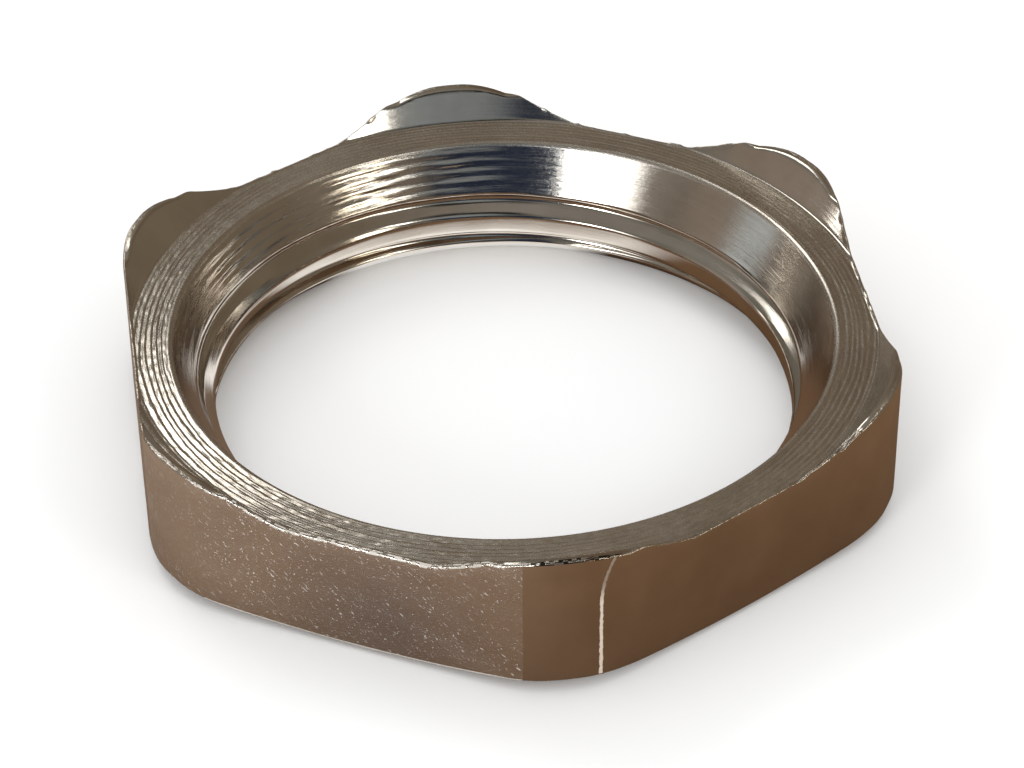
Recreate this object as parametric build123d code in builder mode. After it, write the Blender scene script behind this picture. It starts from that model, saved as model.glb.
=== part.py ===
"""Hexagonal locknut with a female metric thread and six raised corners that bite into a panel.

Frame: millimetres, origin at the centre of the seat (the flat face that the nut rests on), +Z along
the thread axis towards the raised corners, one wrench flat facing +X.
"""

import os
from math import ceil, radians, tan

from build123d import *

# ---- Hexagonal body
across_flats = 24.0
corner_projection = 1.15  # the six corners are turned down, and stand out past the flats by this much
ring_face_height = 4.15  # seat to the turned ring face

# ---- Raised corners: a conical slope from the ring face up to the crest, then down to the rim
slope_margin = 0.125  # the slope starts this far outside the flats
rim_width = 0.25  # crest to rim
crest_rise = 0.95  # crest above the ring face
rim_drop = 0.2  # rim below the crest

# ---- Seat, with a shallow chamfer out to the flats and the corners
seat_inset = 0.725  # edge of the seat, inside the flats
seat_chamfer_angle = 14.0  # degrees, from the seat plane

# ---- Female thread, single start, right hand
thread_diameter = 20.0  # bottom of the groove
groove_depth = 0.55  # less than a full thread, as is usual on thin locknuts
thread_pitch = 1.5
thread_angle = 60.0  # degrees, included
groove_floor_width = thread_pitch / 8
groove_height_at_x = 2.0  # height of the groove's centre where it passes +X

# ---- Countersinks at the two mouths of the thread
entry_margin = 0.75  # edge of the countersink in the ring face, outside the groove
entry_angle = 60.0  # degrees, included
exit_margin = 0.35  # edge of the countersink in the seat, outside the groove
exit_angle = 90.0  # degrees, included

# ---- Cutters run past the metal by this much
clear = 1.0

# ---- Worked out from the values above
flat_radius = across_flats / 2
corner_radius = flat_radius + corner_projection
crest_radius = corner_radius - rim_width
ring_face_radius = flat_radius + slope_margin
seat_radius = flat_radius - seat_inset
thread_radius = thread_diameter / 2
bore_radius = thread_radius - groove_depth
entry_radius = thread_radius + entry_margin
exit_radius = thread_radius + exit_margin
crest_height = ring_face_height + crest_rise
entry_slope = tan(radians(entry_angle / 2))
exit_slope = tan(radians(exit_angle / 2))
seat_chamfer_slope = tan(radians(seat_chamfer_angle))
rim_slope = rim_drop / rim_width

# ---- The plug that cuts the thread runs past both mouths by whole turns
plug_overrun = 2.0  # plain core past each end of the ridge
ridge_overlap = 0.1  # how far the ridge reaches into the core
flank_slope = tan(radians(thread_angle / 2))
floor_half = groove_floor_width / 2
mouth_half = floor_half + (groove_depth + ridge_overlap) * flank_slope
turns_below = ceil((groove_height_at_x + mouth_half) / thread_pitch) + 1
plug_start = groove_height_at_x - turns_below * thread_pitch
turns = ceil((crest_height - plug_start) / thread_pitch) + 2
plug_length = turns * thread_pitch

os.makedirs("parts", exist_ok=True)

plug_path = Helix(
    pitch=thread_pitch,
    height=plug_length,
    radius=bore_radius,
    center=(0, 0, plug_start),
    mode=Mode.PRIVATE,
)

with BuildPart() as thread_plug:
    # Core, which cuts the bore
    with BuildSketch(Plane.XY.offset(plug_start - plug_overrun)):
        Circle(bore_radius)
    extrude(amount=plug_length + 2 * plug_overrun)

    # Ridge, which cuts the groove
    with BuildSketch(Plane(origin=plug_path @ 0, x_dir=(1, 0, 0), z_dir=plug_path % 0)):
        with BuildLine():
            Polyline(
                (-ridge_overlap, -mouth_half),
                (groove_depth, -floor_half),
                (groove_depth, floor_half),
                (-ridge_overlap, mouth_half),
                close=True,
            )
        make_face()
    sweep(path=plug_path, is_frenet=True)

with BuildPart() as locknut:
    # Blank, bored and threaded
    with BuildSketch():
        Circle(corner_radius)
    extrude(amount=crest_height)
    add(thread_plug.part, mode=Mode.SUBTRACT)

    # Ring face, the slope up to the corners and the entry countersink, turned in one
    with BuildSketch(Plane.XZ):
        with BuildLine():
            Polyline(
                (bore_radius - clear, ring_face_height - (entry_radius - bore_radius + clear) / entry_slope),
                (entry_radius, ring_face_height),
                (ring_face_radius, ring_face_height),
                (crest_radius, crest_height),
                (crest_radius, crest_height + clear),
                (bore_radius - clear, crest_height + clear),
                close=True,
            )
        make_face()
    revolve(axis=Axis.Z, mode=Mode.SUBTRACT)

    # Fall from the crest to the rim
    with BuildSketch(Plane.XZ):
        with BuildLine():
            Polyline(
                (crest_radius, crest_height),
                (corner_radius + clear, crest_height - (corner_radius + clear - crest_radius) * rim_slope),
                (corner_radius + clear, crest_height + clear),
                (crest_radius, crest_height + clear),
                close=True,
            )
        make_face()
    revolve(axis=Axis.Z, mode=Mode.SUBTRACT)

    # Exit countersink
    with BuildSketch(Plane.XZ):
        with BuildLine():
            Polyline(
                (bore_radius - clear, (exit_radius - bore_radius + clear) / exit_slope),
                (exit_radius, 0),
                (exit_radius, -clear),
                (bore_radius - clear, -clear),
                close=True,
            )
        make_face()
    revolve(axis=Axis.Z, mode=Mode.SUBTRACT)

    # Chamfer round the seat
    with BuildSketch(Plane.XZ):
        with BuildLine():
            Polyline(
                (seat_radius, 0),
                (corner_radius + clear, (corner_radius + clear - seat_radius) * seat_chamfer_slope),
                (corner_radius + clear, -clear),
                (seat_radius, -clear),
                close=True,
            )
        make_face()
    revolve(axis=Axis.Z, mode=Mode.SUBTRACT)

    # Six wrench flats, which leave the raised slope standing only at the corners
    with BuildSketch():
        RegularPolygon(flat_radius, 6, major_radius=False, rotation=30)
    extrude(amount=crest_height, mode=Mode.INTERSECT)

locknut.part.label = "locknut"
export_step(locknut.part, "parts/locknut.step")
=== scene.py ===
"""Looks for the raised-corner locknut: one closed mesh of nickel-plated brass, turned, threaded and worn.

The mesh is a grid: sections round the thread axis, stations along each section. sections() gives the clean
shape and each station's finish, worn() adds the marks of turning, threading and handling, and face_slots()
chooses the material of every face.
"""

from math import cos, pi, radians, sin, tan

import bpy
import numpy as np
from mathutils import Matrix, Vector


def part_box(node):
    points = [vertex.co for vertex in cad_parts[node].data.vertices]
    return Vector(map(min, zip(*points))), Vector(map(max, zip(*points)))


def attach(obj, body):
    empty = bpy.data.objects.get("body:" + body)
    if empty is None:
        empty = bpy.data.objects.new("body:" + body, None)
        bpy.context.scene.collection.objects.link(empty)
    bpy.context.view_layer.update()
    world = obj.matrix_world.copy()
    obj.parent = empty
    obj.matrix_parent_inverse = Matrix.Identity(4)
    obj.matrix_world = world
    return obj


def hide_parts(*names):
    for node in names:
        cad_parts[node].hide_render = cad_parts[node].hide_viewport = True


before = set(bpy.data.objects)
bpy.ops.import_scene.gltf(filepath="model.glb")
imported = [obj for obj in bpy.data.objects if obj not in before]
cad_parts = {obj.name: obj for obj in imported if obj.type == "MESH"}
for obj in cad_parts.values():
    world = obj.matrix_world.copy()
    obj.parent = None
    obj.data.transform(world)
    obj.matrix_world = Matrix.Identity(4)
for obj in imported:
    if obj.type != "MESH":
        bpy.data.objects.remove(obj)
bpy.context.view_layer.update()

MM = 0.001  # sizes are in millimetres and azimuths in degrees from +X, and Blender works in metres

# ---------------------------------------------------------------- sizes, as the CAD model has them
node_low, node_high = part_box("locknut")
flat_radius = (node_high.x - node_low.x) / 2 / MM
corner_radius = (node_high.y - node_low.y) / 2 / MM
crest_height = node_high.z / MM
crest_rise = 0.95
ring_face_height = crest_height - crest_rise
ring_face_radius = flat_radius + 0.125  # the slope to the corners starts just outside the flats
crest_radius = corner_radius - 0.25
seat_radius = flat_radius - 0.725
seat_chamfer_slope = tan(radians(14))
thread_radius = 10.0
thread_pitch = 1.5
bore_radius = thread_radius - 0.55
flank_slope = tan(radians(30))
groove_floor_half = thread_pitch / 16
groove_height_at_x = 2.0
entry_radius = thread_radius + 0.75
entry_slope = tan(radians(30))
exit_radius = thread_radius + 0.35
exit_slope = tan(radians(45))

# ---------------------------------------------------------------- edges, which are never quite sharp
outline_rounding = 0.50  # where a flat runs into a turned corner
crest_rounding = 0.40
rim_slope = 0.40  # fall from the crest to the rim
corner_end_drop = 0.25  # how much lower a corner's two ends are than its middle
slope_rounding = 0.04  # at the foot of the slope and where the slope meets a corner's lower ends
edge_rounding = 0.06
torn_edge_extra = 0.045  # more of it on the torn flat
mouth_rounding = 0.11  # between ring face and countersink
groove_floor_rounding = 0.08
ridge_rounding = 0.06
entry_rounding = 0.03
exit_rounding = 0.05

# ---------------------------------------------------------------- places of the nut's own wear
SECTOR = 60  # from one flat's middle to the next
flat_end = 24.1  # from a flat's middle to its end
torn_flat = 240  # its top and bottom edges are torn and scuffed
worn_corner = 212  # the worn finish goes on round this corner
worn_corner_width = 10
rough_side = 225  # the tool marks are deepest on this side
nick_azimuth = 317.6
nick_width = 3.0
painted_shade_azimuth = 271.2  # where a dark line of painted shade runs along the top edge
painted_shade_width = 6.2

# finishes, each with its own material
# the last finish is a dark line of painted shade along part of the top edge
SEAT, CHAMFER, FLAT_WORN, FLAT_BRIGHT, LAND, SLOPE, RING_FACE, ENTRY, THREAD, BURR, SCUFF, PAINTED_SHADE = range(12)

# ---------------------------------------------------------------- small shape helpers


def smooth_min(a, b, width):
    """The lesser of a and b, with the corner between them rounded over width."""
    h = np.maximum(width - np.abs(a - b), 0) / width
    return np.minimum(a, b) - h * h * width / 4


def smooth_max(a, b, width):
    """The greater of a and b, with the corner between them rounded over width."""
    return -smooth_min(-a, -b, width)


def hump(x, width):
    """A bell of height 1 round x = 0."""
    return np.exp(-((x / width) ** 2))


def rising(x, start, stop):
    """0 before start, 1 after stop, and a straight line between them; falling if stop is before start."""
    return np.clip((x - start) / (stop - start), 0, 1)


def sawtooth(turn, long_part):
    """Distance from the nearest whole turn, from 0 to 1, with a long flank and a short one."""
    step = turn % 1
    return np.minimum(step / long_part, (1 - step) / (1 - long_part))


def streaks(angle, across, around, size, seed):
    """Noise from -1 to 1 that closes on itself: `around` cells round the axis, cells of `size` mm across."""
    table = np.random.default_rng(seed).uniform(-1, 1, (around, 257))
    u = (angle / (2 * pi)) % 1 * around
    v = np.abs(across / size) % 256
    i, j = np.floor(u).astype(int), np.floor(v).astype(int)
    fu, fv = u - i, v - j
    fu, fv = fu * fu * (3 - 2 * fu), fv * fv * (3 - 2 * fv)
    i, after = i % around, (i + 1) % around
    low = table[i, j] * (1 - fu) + table[after, j] * fu
    high = table[i, j + 1] * (1 - fu) + table[after, j + 1] * fu
    return low * (1 - fv) + high * fv


# ---------------------------------------------------------------- the section at every azimuth


def azimuth_lines():
    """Azimuths round the nut in radians, closer together where a flat meets the turned corner."""
    stops = [0, 8.2, 21.5, 23.6, 24.7, SECTOR / 2]
    counts = [15, 24, 4, 8, 9]
    spans = zip(stops, stops[1:], counts)
    half = np.concatenate([np.linspace(start, stop, count, endpoint=False) for start, stop, count in spans])
    sector = np.concatenate([half, [SECTOR / 2], SECTOR - half[:0:-1]])
    return np.radians(np.concatenate([sector + SECTOR * k for k in range(6)]))


def off_flat(angle):
    """Angle from the nearest flat's middle, in radians."""
    return (angle + pi / 6) % (pi / 3) - pi / 6


def outline_radius(angle):
    """Distance from the axis to the outside: a flat, or the turned corner between two flats."""
    return smooth_min(flat_radius / np.cos(off_flat(angle)), corner_radius + 0 * angle, outline_rounding)


def top_height(angle, radius):
    """The turned ring face, the slope up to the crest and the fall to the rim, lower at a corner's ends."""
    to_end = np.degrees(np.abs(off_flat(angle)))
    cap = crest_height - corner_end_drop * rising(to_end, 29.5, 21.5) ** 2
    rounded_off = crest_rounding / 4  # what smooth_min takes from the crest
    peak = crest_height + rounded_off
    steepness = (crest_rise + rounded_off) / (crest_radius - ring_face_radius)
    slope = peak + (radius - crest_radius) * steepness
    fall = peak - (radius - crest_radius) * rim_slope
    top = smooth_min(smooth_min(slope, fall, crest_rounding), cap + 0 * radius, slope_rounding)
    return smooth_max(ring_face_height + 0 * radius, top, slope_rounding)


def bore_wall(angle, height):
    """Radius of the threaded bore and its two countersinks."""
    centre = groove_height_at_x + thread_pitch * angle / (2 * pi)
    off = (height - centre + thread_pitch / 2) % thread_pitch - thread_pitch / 2
    flank = thread_radius - (np.abs(off) - groove_floor_half) / flank_slope
    groove = smooth_min(flank, thread_radius + 0 * off, groove_floor_rounding)
    thread = smooth_max(groove, bore_radius + 0 * off, ridge_rounding)
    entry = entry_radius - (ring_face_height - height) * entry_slope
    leave = exit_radius - height / exit_slope
    return smooth_max(smooth_max(thread, entry, entry_rounding), leave, exit_rounding)


def sections(angle):
    """Radius, height and finish along the section at each azimuth: a closed loop, starting at the seat."""
    on_torn_flat = rising(np.abs(np.degrees(angle) - torn_flat), 23, 20)
    edge = edge_rounding + torn_edge_extra * on_torn_flat
    outside = outline_radius(angle)
    rows = []

    def add(radius, height, finish):
        rows.append((np.broadcast_to(radius, angle.shape), np.broadcast_to(height, angle.shape), finish))

    # the seat, its chamfer and the rounded bottom edge
    for t in np.linspace(0, 1, 3, endpoint=False):
        add(exit_radius + t * (seat_radius - exit_radius), 0, SEAT)
    for t in np.linspace(0, 1, 3, endpoint=False):
        radius = seat_radius + t * (outside - edge - seat_radius)
        add(radius, (radius - seat_radius) * seat_chamfer_slope, CHAMFER)
    chamfer_top = (outside - seat_radius) * seat_chamfer_slope
    for t in np.linspace(0, pi / 2, 4):
        finish = CHAMFER if t < 1.5 else LAND
        add(outside - edge + edge * np.sin(t), chamfer_top + edge * (1 - np.cos(t)), finish)

    # the outside wall and the rounded top edge
    start = outside - edge
    wall_low = chamfer_top + edge
    wall_high = top_height(angle, start) - edge
    for t in np.linspace(0, 1, 10)[1:-1]:
        add(outside, wall_low + t * (wall_high - wall_low), LAND)
    for t in np.linspace(0, pi / 2, 4):
        add(start + edge * np.cos(t), wall_high + edge * np.sin(t), BURR)

    # over the crest, down the slope and across the ring face; stations never meet, even on a flat
    least_gap = 0.02
    crest = np.minimum(crest_radius, start - least_gap)
    foot = np.minimum(ring_face_radius, crest - least_gap)
    for t in np.linspace(0, 1, 5)[1:]:
        radius = start + t * (crest - start)
        add(radius, top_height(angle, radius), BURR if t < 0.4 else SLOPE)
    for t in np.linspace(0, 1, 13)[1:]:
        radius = crest + t * (foot - crest)
        add(radius, top_height(angle, radius), SLOPE)
    for t in np.linspace(0, 1, 45)[1:]:
        radius = foot + t * (entry_radius + mouth_rounding - foot)
        add(radius, top_height(angle, radius), RING_FACE)

    # over the mouth's rounded edge and down the bore
    for t in np.linspace(0, 1, 6)[1:]:
        blend = (t * t * (1 - t) + t * t) / 2 * mouth_rounding
        radius = entry_radius + mouth_rounding * (1 - t) ** 1.6 - blend * entry_slope
        add(radius, ring_face_height - blend, RING_FACE)
    countersink_end, thread_end = 2.9, 0.3
    heights = np.concatenate([
        np.linspace(ring_face_height - mouth_rounding / 2, countersink_end, 17)[1:],
        np.linspace(countersink_end, thread_end, 34)[1:],
        np.linspace(thread_end, 0, 3)[1:-1],
    ])
    for height in heights:
        add(bore_wall(angle, height + 0 * angle), height, ENTRY if height > 2.6 else THREAD)
    radius, height = (np.array([row[k] for row in rows]).T for k in (0, 1))
    return radius, height, np.array([row[2] for row in rows])


# ---------------------------------------------------------------- marks of turning, threading and handling


def ring_face_marks(a, radius, finish):
    """Height of the concentric tool marks: long flanks that face outwards, rougher towards one side."""
    pitch = 0.175
    sunk = 0.012  # keeps the marks below the clean face
    on_face = (finish == RING_FACE)[None, :] & (radius < ring_face_radius) & (radius > entry_radius + 0.05)
    fade = rising(radius, ring_face_radius, ring_face_radius - 0.06)
    fade = fade * rising(radius, entry_radius + 0.10, entry_radius + 0.16)
    side = 0.5 + 0.5 * np.cos(a - radians(rough_side))
    wobble = 0.06 * streaks(a, radius, around=9, size=0.4, seed=3)
    wobble = wobble + 0.022 * streaks(a, radius, around=50, size=0.2, seed=4)
    turn = (radius + wobble - entry_radius) / pitch
    uneven = 1 + 0.6 * streaks(a, np.floor(turn) * 1.0, around=14, size=1.0, seed=5)
    groove = -(0.005 + 0.030 * side) * uneven * sawtooth(turn, 0.75)
    rough = (0.002 + 0.009 * side) * streaks(a, radius, around=330, size=0.06, seed=6)
    return np.where(on_face, fade * (groove + rough - sunk), 0)


def countersink_marks(a, height, finish):
    """Radius of the chatter that the countersink's cutter left, strongest on the +Y side of the cone."""
    pitch = 0.29
    depth = 0.040
    down = ring_face_height - height
    on_cone = (finish == ENTRY)[None, :] * rising(down, 0, 0.15) * rising(height, 2.5, 2.8)
    azimuth = np.degrees(a)
    strength = 0.08 + 0.92 * rising(azimuth, 76, 92) * rising(azimuth, 172, 142)
    slide = down + 0.08 * streaks(a, down * 0, around=7, size=1, seed=7)
    slide = slide + 0.03 * streaks(a, down * 0, around=40, size=1, seed=8)
    wave = depth * (sawtooth(slide / pitch, 0.7) ** 2 - 0.4)
    return on_cone * strength * (wave + 0.012 * streaks(a, down, around=90, size=0.12, seed=9))


def top_edge_marks(a, radius, height, finish):
    """Height of the burr along the top edge, small on the raised corners."""
    tall = 0.07
    outside = outline_radius(a[:, :1])
    on_edge = np.isin(finish, (SLOPE, BURR))[None, :] * hump(outside - radius, 0.09)
    burr = np.maximum(streaks(a, a * 0, around=260, size=1, seed=10), 0) ** 2
    burr = burr + 0.5 * np.maximum(streaks(a, a * 0, around=70, size=1, seed=11), 0) ** 2
    below_crest = np.clip((crest_height - 0.3 - height) / 0.2, 0.2, 1)
    return on_edge * burr * tall * below_crest


def nick_marks(a, radius, finish):
    """Depth of the nick in the top edge beside one corner."""
    outside = outline_radius(a[:, :1])
    at_nick = hump(np.degrees(a) - nick_azimuth, nick_width) * hump(outside - 0.06 - radius, 0.24)
    at_nick = at_nick * np.isin(finish, (SLOPE, BURR))
    return at_nick * (0.17 + 0.12 * streaks(a, radius, around=240, size=0.06, seed=13))


def worn(angle, radius, height, finish):
    """Moves the clean section's points by the marks, and keeps them under the crest height."""
    a = angle[:, None] + 0 * radius
    height = height + ring_face_marks(a, radius, finish)
    radius = radius + countersink_marks(a, height, finish)
    height = height + top_edge_marks(a, radius, height, finish)
    wall = (finish == LAND)[None, :]
    radius = radius - wall * 0.004 * (1 + streaks(a, height, around=60, size=1.2, seed=12))
    height = height - nick_marks(a, radius, finish)
    return radius, np.minimum(height, crest_height)


def nut_mesh():
    """The closed mesh, with the azimuths and the finishes of its grid."""
    angle = azimuth_lines()
    radius, height, finish = sections(angle)
    radius, height = worn(angle, radius, height, finish)
    around, along = radius.shape
    points = np.stack([radius * np.cos(angle)[:, None], radius * np.sin(angle)[:, None], height], axis=-1)
    index = np.arange(around * along).reshape(around, along)
    ahead = np.roll(index, -1, axis=0)
    quads = np.stack([index, ahead, np.roll(ahead, -1, axis=1), np.roll(index, -1, axis=1)], axis=-1)
    mesh = bpy.data.meshes.new("nut")
    mesh.from_pydata((points.reshape(-1, 3) * MM).tolist(), [], quads.reshape(-1, 4).tolist())
    mesh.shade_smooth()
    return mesh, angle, finish


def face_slots(angle, finish):
    """Every face's finish: as its station has it, then the two kinds of flat, then the nut's own wear."""
    azimuth = np.degrees(angle)
    slot = np.broadcast_to(finish, (len(angle), len(finish))).copy()
    wall = slot == LAND
    on_flat = np.abs(np.degrees(off_flat(angle))) < flat_end
    worn_flats = np.isin(np.round(azimuth / SECTOR).astype(int) % 6, (0, 2, 4))
    slot[wall & (on_flat & worn_flats)[:, None]] = FLAT_WORN
    slot[wall & (on_flat & ~worn_flats)[:, None]] = FLAT_BRIGHT

    # scuffed bottom edge of the torn flat
    first_wall = int(np.argmax(finish == LAND))
    scuffed = np.abs(azimuth - torn_flat) < 24
    slot[np.ix_(scuffed, range(first_wall - 3, first_wall))] = SCUFF

    # the nick, the torn top edge and its stretch of painted dark shade
    first_burr = int(np.argmax(finish == BURR))
    torn = np.abs(azimuth - nick_azimuth) < 3.2
    slot[np.ix_(torn, range(first_burr, int(np.argmax(finish == RING_FACE)) - 6))] = BURR
    station = np.arange(len(finish))
    dotted = np.random.default_rng(22).random(slot.shape) < 0.45
    on_top = np.isin(station, range(first_burr, first_burr + 3))
    slot[dotted & (np.abs(azimuth - torn_flat + 2) < 24)[:, None] & on_top] = SCUFF
    painted_shade_rows = np.abs(azimuth - painted_shade_azimuth) < painted_shade_width
    slot[~dotted & painted_shade_rows[:, None] & np.isin(station, range(first_burr, first_burr + 5))] = PAINTED_SHADE

    beside = np.abs(azimuth - worn_corner) < worn_corner_width
    slot[wall & beside[:, None]] = FLAT_WORN
    return slot


# ---------------------------------------------------------------- materials

LIGHT_NICKEL = (0.70, 0.66, 0.60, 1)
DARK_NICKEL = (0.52, 0.47, 0.41, 1)
PALE_NICKEL = (0.78, 0.74, 0.70, 1)
COOL_NICKEL = (0.50, 0.49, 0.50, 1)
BARE_SPECK = (0.80, 0.76, 0.72, 1)
# pale colour for worn plating and a painted highlight along the front corner's edge
RUB_AND_SHEEN_COLOUR = (0.62, 0.52, 0.42, 1)
# near-black colour, painted on part of the top edge as shade
PAINTED_SHADE_COLOUR = (0.02, 0.017, 0.014, 1)
stroke_along = (0.65, -0.375, -0.66)  # the worn flat's fine strokes run down to the right
stroke_across = (0.57, -0.33, 0.75)
cool_patch = (-5.3, -10.8, 1.5)  # middle of the darker, cooler patch on the torn flat, in mm


class Nodes:
    """A short way to write the nodes of one tree."""

    def __init__(self, tree):
        self.tree = tree

    def add(self, kind, inputs=(), **settings):
        node = self.tree.nodes.new(kind)
        for key, value in settings.items():
            setattr(node, key, value)
        for key, value in dict(inputs).items():
            self.set(node.inputs[key], value)
        return node

    def set(self, socket, value):
        """Links the socket if value is a socket, and otherwise sets the socket's own value."""
        if isinstance(value, bpy.types.NodeSocket):
            self.tree.links.new(value, socket)
        else:
            socket.default_value = value

    def math(self, operation, a, b=0.0):
        return self.add("ShaderNodeMath", {0: a, 1: b}, operation=operation).outputs[0]

    def vector(self, operation, a, b, output="Vector"):
        return self.add("ShaderNodeVectorMath", {0: a, 1: b}, operation=operation).outputs[output]

    def noise(self, vector, scale, detail=3.0, rough=0.55):
        inputs = {"Vector": vector, "Scale": scale, "Detail": detail, "Roughness": rough}
        return self.add("ShaderNodeTexNoise", inputs).outputs["Fac"]

    def ramp(self, value, low, high, out_low=0.0, out_high=1.0):
        made = self.add("ShaderNodeMapRange", {0: value, 1: low, 2: high, 3: out_low, 4: out_high})
        return made.outputs[0]

    def mix(self, factor, a, b):
        made = self.add("ShaderNodeMix", data_type="RGBA")
        self.set(made.inputs["Factor"], factor)
        self.set(made.inputs["A"], a)
        self.set(made.inputs["B"], b)
        return made.outputs["Result"]

    def position(self):
        """Object coordinates in mm, their three parts, and the distance from the thread axis."""
        place = self.add("ShaderNodeTexCoord").outputs["Object"]
        scaled = self.add("ShaderNodeVectorMath", {0: place, "Scale": 1 / MM}, operation="SCALE").outputs[0]
        parts = self.add("ShaderNodeSeparateXYZ", {0: scaled}).outputs
        x_squared = self.math("MULTIPLY", parts[0], parts[0])
        y_squared = self.math("MULTIPLY", parts[1], parts[1])
        return scaled, parts, self.math("SQRT", self.math("ADD", x_squared, y_squared))

    def turned(self, parts, radius, around, across):
        """Coordinates for marks round the axis: `around` features a turn and `across` features a mm."""
        x = self.math("MULTIPLY", self.math("DIVIDE", parts[0], radius), around)
        y = self.math("MULTIPLY", self.math("DIVIDE", parts[1], radius), around)
        v = self.math("MULTIPLY", self.math("ADD", radius, parts[2]), across)
        return self.add("ShaderNodeCombineXYZ", {0: x, 1: y, 2: v}).outputs[0]


def new_material(name):
    """A material, its nodes and the inputs of its shader."""
    made = bpy.data.materials.new(name)
    made.use_nodes = True
    return made, Nodes(made.node_tree), made.node_tree.nodes["Principled BSDF"].inputs


def speck_mask(n, place, strength):
    """Where the worn flats show short bright strokes and dots, thicker in some places than in others."""
    u = n.math("MULTIPLY", n.vector("DOT_PRODUCT", place, stroke_along, "Value"), 3.2)
    v = n.math("MULTIPLY", n.vector("DOT_PRODUCT", place, stroke_across, "Value"), 13.0)
    strokes = n.noise(n.add("ShaderNodeCombineXYZ", {0: u, 1: v}).outputs[0], 1.0, 2.0, 0.6)
    strokes = n.ramp(strokes, 0.635, 0.72)
    dots = n.ramp(n.noise(place, 13.0, 1.0, 0.5), 0.70, 0.76)
    crowd = n.ramp(n.noise(place, 0.5, 2.0), 0.36, 0.60, 0.25, 1.0)
    return n.math("MULTIPLY", n.math("MAXIMUM", strokes, dots), n.math("MULTIPLY", crowd, strength))


def rub_and_sheen_mask(n, place, parts):
    """The worn line down the front corner, bare of plating and painted pale as the highlight its edge
    catches, which bends and fades towards the top.
    """
    foot_x, bend_start, bend, front = 1.03, 3.3, 0.16, -10.0
    above = n.math("MAXIMUM", n.math("SUBTRACT", parts[2], bend_start), 0.0)
    middle = n.math("ADD", n.math("MULTIPLY", n.math("POWER", above, 2.0), bend), foot_x)
    ragged = n.math("MULTIPLY", n.noise(place, 6.0, 4.0, 0.7), 0.12)
    away = n.math("ADD", n.math("ABSOLUTE", n.math("SUBTRACT", parts[0], middle)), ragged)
    line = n.math("MULTIPLY", n.ramp(away, 0.098, 0.122, 1.0, 0.0), n.math("LESS_THAN", parts[1], front))
    return n.math("MULTIPLY", line, n.ramp(parts[2], bend_start, 4.0, 1.0, 0.25))


def scratch_relief(n, place, depth):
    """Fine scratches in three directions."""
    relief = 0.0
    for turn, stretch in ((0.5, 7.0), (-0.9, 9.0), (1.4, 6.0)):
        rotated = n.add("ShaderNodeVectorRotate", {"Vector": place, "Axis": (0.3, 0.4, 0.86), "Angle": turn})
        line = n.noise(n.vector("MULTIPLY", rotated.outputs[0], (stretch, 1.6, 22.0)), 1.0, 2.0)
        relief = n.math("ADD", relief, n.ramp(line, 0.60, 0.70, 0.0, depth))
    return relief


def nickel(name, rough, marks, depth, around=3, scratches=0, specks=0, rub_and_sheen=False, metal=1.0, painted_shade_share=0):
    """Nickel plate over turned brass.

    rough is the range of the roughness. The tool marks run round the axis: `marks` to a mm across them and
    `around` a turn along them, `depth` mm deep. scratches is a depth in mm, and specks, metal and the share
    of painted dark shade, the last argument, are shares of 1.
    """
    material, n, shader = new_material(name)
    place, parts, radius = n.position()
    raised = n.noise(n.turned(parts, radius, around, marks), 1.0, 4.0, 0.6)
    fine = n.noise(place, 9.0, 3.0, 0.7)
    stain = n.ramp(n.noise(place, 0.35, 4.0), 0.35, 0.65, 0.2, 0.8)
    colour = n.mix(stain, LIGHT_NICKEL, DARK_NICKEL)
    mixed = n.math("ADD", n.math("MULTIPLY", raised, 0.6), n.math("MULTIPLY", fine, 0.4))
    roughness = n.ramp(mixed, 0.3, 0.7, *rough)
    metallic = metal
    # painted shade: darkens the colour towards near-black
    if painted_shade_share:
        colour = n.mix(painted_shade_share, colour, PAINTED_SHADE_COLOUR)
    if specks:
        raised = speck_mask(n, place, specks)  # the specks stand up in place of tool marks
        near = n.ramp(n.vector("DISTANCE", place, cool_patch, "Value"), 0.4, 3.8)
        colour = n.mix(near, COOL_NICKEL, n.mix(0.35, colour, PALE_NICKEL))
        colour = n.mix(raised, colour, BARE_SPECK)
        metallic = n.ramp(raised, 0.0, 1.0, metal, 0.3)
    # worn line with a painted highlight: pale, rough and hardly metallic
    if rub_and_sheen:
        line = rub_and_sheen_mask(n, place, parts)
        colour = n.mix(line, colour, RUB_AND_SHEEN_COLOUR)
        metallic = n.ramp(line, 0.0, 1.0, metal, 0.15)
        roughness = n.ramp(line, 0.0, 1.0, roughness, 0.7)
    n.set(shader["Metallic"], metallic)
    n.set(shader["Base Color"], colour)
    n.set(shader["Roughness"], roughness)
    relief = n.math("ADD", n.math("MULTIPLY", raised, depth), n.math("MULTIPLY", fine, 0.0012))
    if scratches:
        relief = n.math("ADD", relief, scratch_relief(n, place, scratches))
    height = n.math("MULTIPLY", relief, MM)
    bump = n.add("ShaderNodeBump", {"Height": height, "Strength": 1.0, "Distance": 1.0})
    n.set(shader["Normal"], bump.outputs[0])
    return material


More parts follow.
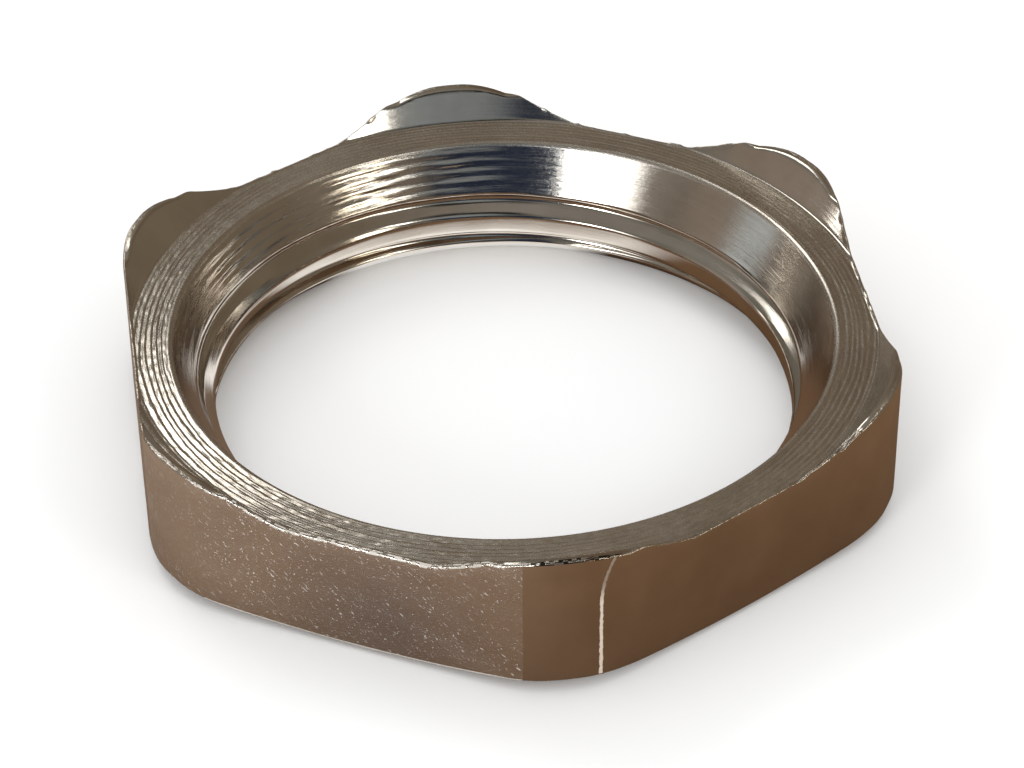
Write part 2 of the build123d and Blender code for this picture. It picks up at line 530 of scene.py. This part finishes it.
def finishes():
    """One material for each finish, in the finishes' order."""
    return [
        nickel("seat_turned", (0.22, 0.40), marks=9, depth=0.010),
        nickel("chamfer_turned", (0.18, 0.34), marks=7, depth=0.006),
        nickel("flat_worn", (0.26, 0.42), marks=1.5, depth=0.002, scratches=0.0025, specks=0.9),
        nickel("flat_bright", (0.12, 0.24), marks=1.5, depth=0.001, scratches=0.0008, rub_and_sheen=True),
        nickel("corner_turned", (0.10, 0.22), marks=5, depth=0.001, rub_and_sheen=True),
        nickel("slope_turned", (0.08, 0.18), marks=8, depth=0.003),
        nickel("ring_face_turned", (0.18, 0.34), marks=16, depth=0.006, around=6),
        nickel("countersink_turned", (0.07, 0.20), marks=10, depth=0.006, around=8),
        nickel("thread_cut", (0.08, 0.18), marks=5, depth=0.002),
        nickel("burr_torn", (0.10, 0.30), marks=12, depth=0.040, around=60),
        nickel("edge_scuffed", (0.40, 0.60), marks=6, depth=0.020, around=60, metal=0.25),
        # painted shade along part of the top edge
        nickel("edge_painted_shade", (0.30, 0.45), marks=6, depth=0.020, around=60, painted_shade_share=0.97),
    ]


def nut():
    """The nut, which stands for the CAD node."""
    mesh, angle, finish = nut_mesh()
    piece = bpy.data.objects.new("nut", mesh)
    bpy.context.scene.collection.objects.link(piece)
    for material in finishes():
        mesh.materials.append(material)
    mesh.polygons.foreach_set("material_index", face_slots(angle, finish).reshape(-1).astype(np.int32))
    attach(piece, "root")
    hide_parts("locknut")
    return piece


# ---------------------------------------------------------------- camera, light and floor

WHITE = (1.0, 1.0, 1.0, 1)
PALE_FLOOR = (0.93, 0.93, 0.93, 1)
camera_azimuth, camera_elevation, camera_roll = -98.07, 37.34, -0.54
camera_distance = 111.5
camera_target = (-0.19, -3.14, ring_face_height)

# what polished metal sees of the room, as (azimuth, elevation, half width, half width with its soft rim,
# colour); later ones lie over earlier ones
ROOM_PATCHES = (
    (20, 35, 25, 60, (0.19, 0.15, 0.105, 1)),  # warm far side
    (60, 34, 12, 27, (0.150, 0.110, 0.075, 1)),  # its darker part
    (172, 22, 12, 26, (0.31, 0.26, 0.22, 1)),  # paler wall on -X
    (-146, 18, 8, 18, (0.27, 0.24, 0.21, 1)),  # wall beside the window
    (168, 6, 5, 12, (0.58, 0.64, 0.67, 1)),  # low strip of daylight
    (-80, 60, 11, 18, (0.020, 0.018, 0.015, 1)),  # dark above the viewer
    (82, 46, 6, 9.5, (0.26, 0.22, 0.16, 1)),  # lighter ceiling behind
    (-138, 22, 7, 11, (2.5, 2.5, 2.5, 1)),  # the rest of the window
    (-97, 22, 21, 28, (0.012, 0.022, 0.050, 1)),  # the viewer's dark blue side
    (-81, 43, 9, 18, (0.27, 0.30, 0.32, 1)),  # cool patch over it
)


def direction(azimuth, elevation):
    """Unit vector towards a place; azimuth is counted from +X towards +Y, in degrees."""
    a, e = radians(azimuth), radians(elevation)
    return Vector((cos(a) * cos(e), sin(a) * cos(e), sin(e)))


def camera():
    back = direction(camera_azimuth, camera_elevation)
    data = bpy.data.cameras.new("camera")
    data.lens = 123.8
    data.sensor_width = 36
    data.clip_start = 0.005
    data.clip_end = 5
    made = bpy.data.objects.new("camera", data)
    place = Matrix.Translation((Vector(camera_target) + back * camera_distance) * MM)
    aim = (-back).to_track_quat("-Z", "Y").to_matrix().to_4x4()
    made.matrix_world = place @ aim @ Matrix.Rotation(radians(camera_roll), 4, "Z")
    bpy.context.scene.collection.objects.link(made)
    bpy.context.scene.camera = made


def softbox(name, azimuth, elevation, distance, size, radiance, colour):
    """A square soft light that faces the nut."""
    data = bpy.data.lights.new(name, "AREA")
    data.size = size * MM
    data.energy = radiance * pi * (size * MM) ** 2
    data.color = colour
    made = bpy.data.objects.new(name, data)
    way = direction(azimuth, elevation)
    made.location = way * distance * MM
    made.rotation_euler = (-way).to_track_quat("-Z", "Y").to_euler()
    bpy.context.scene.collection.objects.link(made)


def lights():
    cool, cream, neutral = (0.93, 0.97, 1.0), (1.0, 0.92, 0.76), (1.0, 0.99, 0.96)
    softbox("window_left", -129.5, 21, distance=260, size=64, radiance=13, colour=cool)
    softbox("lamp_right", -47, 18, distance=260, size=60, radiance=5, colour=cream)
    softbox("lamp_right_high", -53, 38, distance=260, size=45, radiance=5, colour=neutral)
    softbox("window_back", 116, 45, distance=300, size=110, radiance=3.2, colour=neutral)
    softbox("window_side", 149, 13, distance=260, size=22, radiance=5, colour=neutral)


def room():
    """Pale to the eye and to soft light; polished metal sees a dim warm room instead."""
    world = bpy.data.worlds.new("room")
    bpy.context.scene.world = world
    world.use_nodes = True
    n = Nodes(world.node_tree)
    way = n.add("ShaderNodeTexCoord").outputs["Generated"]
    up = n.add("ShaderNodeSeparateXYZ", {0: way}).outputs[2]
    seen = n.mix(n.ramp(up, 0.0, 0.6), (0.20, 0.15, 0.11, 1), (0.175, 0.172, 0.150, 1))
    seen = n.mix(n.ramp(up, 0.62, 1.0), seen, (0.30, 0.28, 0.26, 1))
    for azimuth, elevation, core, rim, colour in ROOM_PATCHES:
        facing = n.vector("DOT_PRODUCT", way, direction(azimuth, elevation), "Value")
        seen = n.mix(n.ramp(facing, cos(radians(rim)), cos(radians(core))), seen, colour)
    glossy = n.add("ShaderNodeLightPath").outputs["Is Glossy Ray"]
    n.set(world.node_tree.nodes["Background"].inputs["Color"], n.mix(glossy, WHITE, seen))


def floor():
    """Pale to the eye and to soft light; polished metal sees a brown table, with a painted glowing white
    patch close to the bore's back.
    """
    bpy.ops.mesh.primitive_plane_add(size=4, location=(0, 0, 0))
    made = bpy.context.object
    made.name = "floor"
    material, n, shader = new_material("floor_pale")
    place, parts, radius = n.position()
    brown = n.mix(n.ramp(parts[0], -22, 4), (0.33, 0.24, 0.18, 1), (0.195, 0.115, 0.066, 1))
    path = n.add("ShaderNodeLightPath")
    # painted light: a white patch on the floor round the bore's back, which glows for first reflections only
    painted_glow = n.math("MULTIPLY", n.ramp(radius, 6.6, 8.0), n.ramp(radius, 12.5, 11.5))
    painted_glow = n.math("MULTIPLY", painted_glow, n.ramp(parts[1], 4.8, 6.6))
    painted_glow = n.math("MULTIPLY", painted_glow, n.ramp(n.math("ABSOLUTE", parts[0]), 5.0, 3.6))
    first_reflection = n.math("LESS_THAN", path.outputs["Glossy Depth"], 1.5)
    painted_glow = n.math("MULTIPLY", painted_glow, first_reflection)
    glossy = path.outputs["Is Glossy Ray"]
    n.set(shader["Base Color"], n.mix(glossy, PALE_FLOOR, n.mix(painted_glow, brown, WHITE)))
    n.set(shader["Emission Color"], WHITE)
    n.set(shader["Emission Strength"], n.math("MULTIPLY", n.math("MULTIPLY", glossy, painted_glow), 0.6))
    n.set(shader["Roughness"], 0.9)
    n.set(shader["Specular IOR Level"], 0.0)
    made.data.materials.append(material)


bpy.context.scene.view_settings.view_transform = "Standard"
camera()
room()
floor()
lights()
nut()
bpy.context.view_layer.update()
